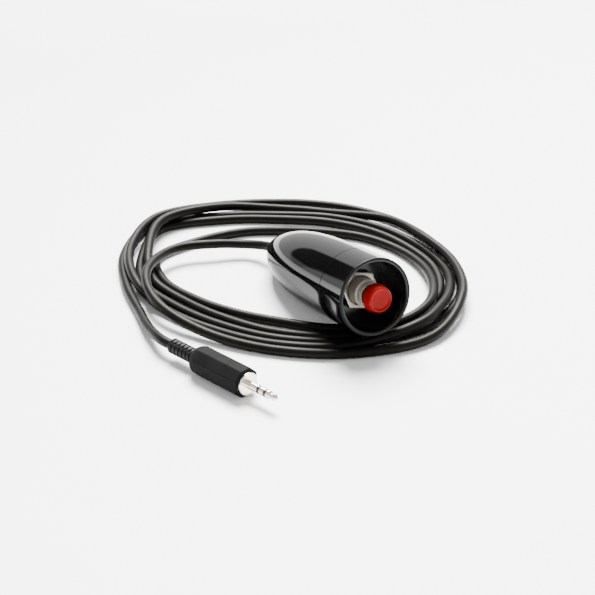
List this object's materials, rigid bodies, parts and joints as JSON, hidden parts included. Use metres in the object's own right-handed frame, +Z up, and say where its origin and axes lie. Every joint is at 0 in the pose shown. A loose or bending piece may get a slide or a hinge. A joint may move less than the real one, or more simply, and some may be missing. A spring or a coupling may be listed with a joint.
{
  "type": "cable shutter release",
  "caption": "Bullet-shaped wired release with a recessed red push-button, a loosely coiled cable and a small jack plug; pressing the button closes a contact.",
  "frame": {"origin": "bottom centre of the handle's box, on the floor below the middle of the handle, cable and plug not counted", "axes": "+Y along the handle from its mouth to its tail, +Z up, +X to the left as seen from the mouth looking out"},
  "size_m": [0.1203, 0.1408, 0.0307],
  "materials": {
    "shell": "glossy black moulded plastic",
    "red_cap": "semi-gloss red moulded plastic",
    "nickel": "bright nickel plate",
    "jacket": "satin black cable jacket",
    "soft_black": "satin black soft moulding",
    "hood": "matt charcoal with a fine grain",
    "insulator": "black insulating plastic",
    "dark_plastic": "dark grey moulded plastic",
    "terminal_board": "brown laminated board",
    "contact_brass": "plain brass",
    "spring_steel": "drawn steel wire",
    "tie": "natural nylon",
    "wire": "insulated conductors"
  },
  "bodies": {
    "handle": {"front_cup": "shell", "rear_shell": "shell", "cable_grommet": "soft_black", "cable_inner_end": "jacket", "cable_tie": "tie", "lead_wires": "wire", "panel_nut": "nickel", "lock_washer": "nickel", "switch_bushing": "nickel", "switch_housing": "dark_plastic", "terminal_base": "terminal_board", "terminals": "contact_brass", "return_spring": "spring_steel", "cable": "jacket", "plug_strain_relief": "soft_black", "plug_cable_end": "jacket", "plug_hood": "hood", "plug_sleeve": "nickel", "plug_ring": "nickel", "plug_tip": "nickel", "plug_insulators": "insulator", "plug_tags": "nickel", "plug_wires": "wire"},
    "button": {"button_cap": "red_cap", "plunger": "dark_plastic", "contact_bridge": "contact_brass"}
  },
  "joints": [
    {"name": "button_press", "type": "slide", "parent": "handle", "child": "button", "axis": [0, 0.9866, -0.1633], "range_m": [0, 0.0013], "stiffness_N_per_m": 500, "springref_m": -0.003, "deforming": ["return_spring"]}
  ]
}
